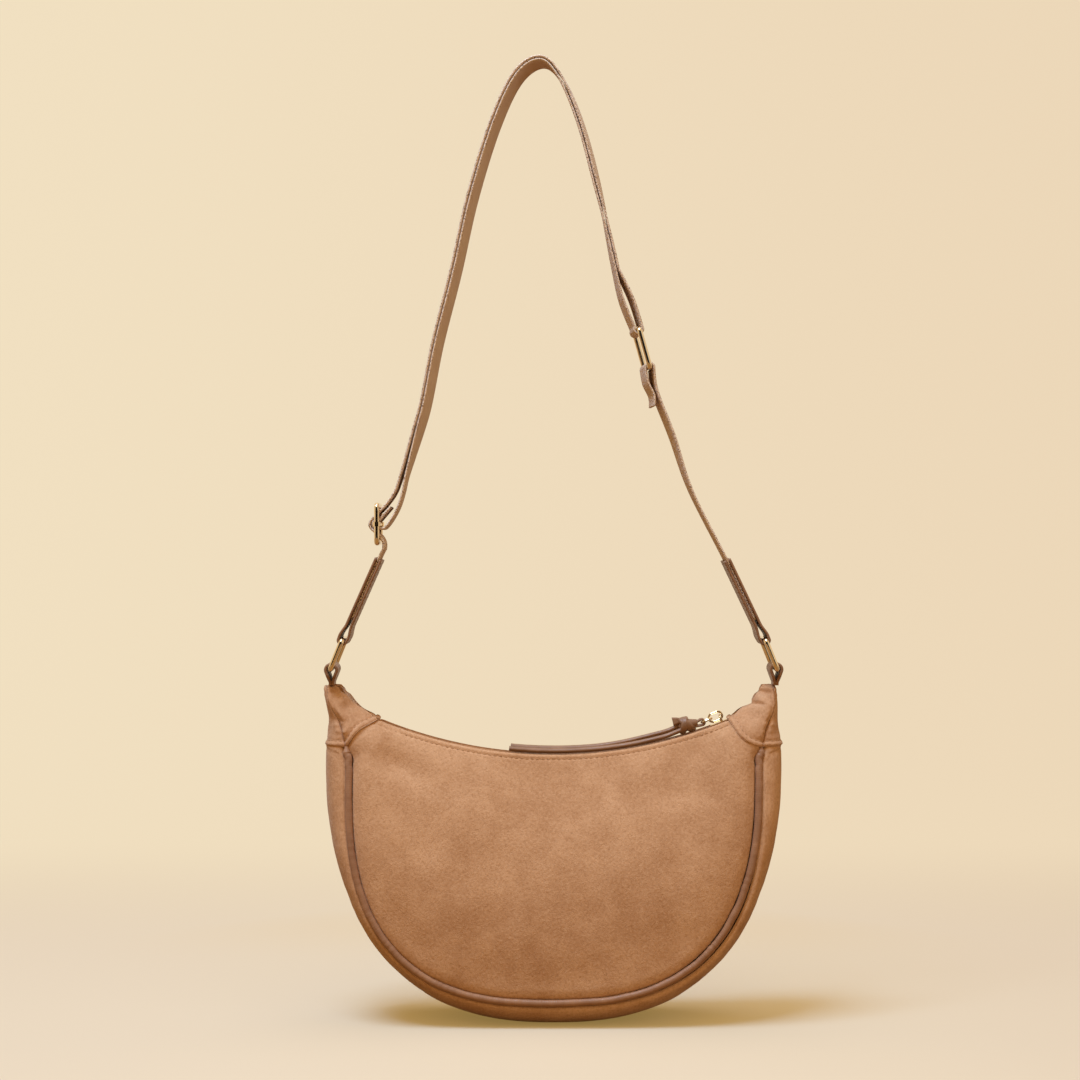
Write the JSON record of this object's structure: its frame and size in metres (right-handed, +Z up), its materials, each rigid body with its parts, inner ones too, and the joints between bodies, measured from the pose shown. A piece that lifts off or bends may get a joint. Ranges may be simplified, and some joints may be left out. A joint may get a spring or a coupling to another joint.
{
  "type": "shoulder bag",
  "caption": "Half moon suede shoulder bag: curved gusset, piped panels, horn caps, arched zip with a knotted thong pull, and an adjustable webbing strap on metal rings.",
  "frame": {"origin": "middle of the box that bounds the part, on the surface that the base stands on", "axes": "+X across the bag to the viewer's right, -Y the pictured front, +Z up towards the strap"},
  "size_m": [0.3032, 0.0772, 0.6323],
  "materials": {
    "suede": "napped suede",
    "smooth_leather": "smooth, semi matt",
    "cloth": "woven",
    "webbing": "woven webbing",
    "gold_metal": "polished, pale gold"
  },
  "bodies": {
    "bag": {"gusset": "suede", "gusset_lining": "cloth", "left_cap_front": "suede", "left_cap_back": "suede", "left_cap_side": "suede", "right_cap_front": "suede", "right_cap_back": "suede", "right_cap_side": "suede", "left_zip_end": "cloth", "right_zip_end": "cloth"},
    "front": {"front_panel": "suede", "front_piping": "smooth_leather", "front_lining": "cloth", "front_zip_tape": "cloth", "front_zip_teeth": "gold_metal"},
    "back": {"back_panel": "suede", "back_piping": "smooth_leather", "back_lining": "cloth", "back_zip_tape": "cloth", "back_zip_teeth": "gold_metal"},
    "slider": {"zip_slider": "gold_metal"},
    "link": {"oval_link": "gold_metal"},
    "pull": {"small_link": "gold_metal", "pull_thong": "smooth_leather"},
    "tabs": {"left_tab": "smooth_leather", "right_tab": "smooth_leather"},
    "left_ring": {"left_ring": "gold_metal"},
    "strap": {"left_chape": "smooth_leather", "long_webbing": "webbing"},
    "oblong_ring": {"oblong_ring": "gold_metal"},
    "lower_strap": {"short_webbing": "webbing", "right_chape": "smooth_leather"},
    "right_ring": {"right_ring": "gold_metal"},
    "buckle": {"buckle_frame": "gold_metal", "buckle_bar": "gold_metal"}
  },
  "joints": [
    {"name": "mouth_front", "type": "hinge", "parent": "bag", "child": "front", "pos_m": [0, -0.036, 0.013], "axis": [1, 0, 0], "range_deg": [0, 3]},
    {"name": "mouth_back", "type": "hinge", "parent": "bag", "child": "back", "pos_m": [0, 0.036, 0.013], "axis": [-1, 0, 0], "range_deg": [0, 3]},
    {"name": "zip_slide", "type": "hinge", "parent": "bag", "child": "slider", "pos_m": [0, 0, 0.47328], "axis": [0, 1, 0], "range_deg": [0, 42.75]},
    {"name": "pull_lift", "type": "hinge", "parent": "slider", "child": "link", "pos_m": [0.10937, 0, 0.1994], "axis": [0, 1, 0], "range_deg": [0, 75]},
    {"name": "pull_swing", "type": "hinge", "parent": "link", "child": "pull", "pos_m": [0.10252, 0, 0.19672], "axis": [-0.3645, 0, 0.9312], "range_deg": [0, 20]},
    {"name": "strap_fold", "type": "hinge", "parent": "bag", "child": "tabs", "pos_m": [0, 0, 0.208], "axis": [-1, 0, 0], "range_deg": [-90, 90]},
    {"name": "ring_sway", "type": "hinge", "parent": "tabs", "child": "left_ring", "pos_m": [-0.146, 0, 0.2305], "axis": [0, 1, 0], "range_deg": [-12, 12]},
    {"name": "strap_tilt", "type": "hinge", "parent": "left_ring", "child": "strap", "pos_m": [-0.13828, 0, 0.2496], "axis": [0, 1, 0], "range_deg": [-13, 13]},
    {"name": "oblong_swing", "type": "hinge", "parent": "strap", "child": "oblong_ring", "pos_m": [0.05489, 0, 0.45303], "axis": [0, 1, 0], "range_deg": [-8, 4]},
    {"name": "lower_strap_swing", "type": "hinge", "parent": "oblong_ring", "child": "lower_strap", "pos_m": [0.06191, 0, 0.42789], "axis": [0, 1, 0], "range_deg": [-4.7, 9.2]},
    {"name": "right_ring_swing", "type": "hinge", "parent": "lower_strap", "child": "right_ring", "pos_m": [0.13828, 0, 0.2496], "axis": [0, 1, 0], "range_deg": [-13, 13]},
    {"name": "buckle_tilt", "type": "hinge", "parent": "strap", "child": "buckle", "pos_m": [-0.11563, 0, 0.32541], "axis": [0, 1, 0], "range_deg": [-6, 6]}
  ],
  "couplings": [
    {"joint": "mouth_back", "follows": "mouth_front", "ratio": 1},
    {"joint": "pull_lift", "follows": "zip_slide", "ratio": 1.754},
    {"joint": "pull_swing", "follows": "zip_slide", "ratio": 0.4678},
    {"joint": "strap_tilt", "follows": "ring_sway", "ratio": -1.0558},
    {"joint": "right_ring_swing", "follows": "ring_sway", "ratio": 1.0558},
    {"joint": "lower_strap_swing", "follows": "oblong_swing", "ratio": -1.1334}
  ]
}
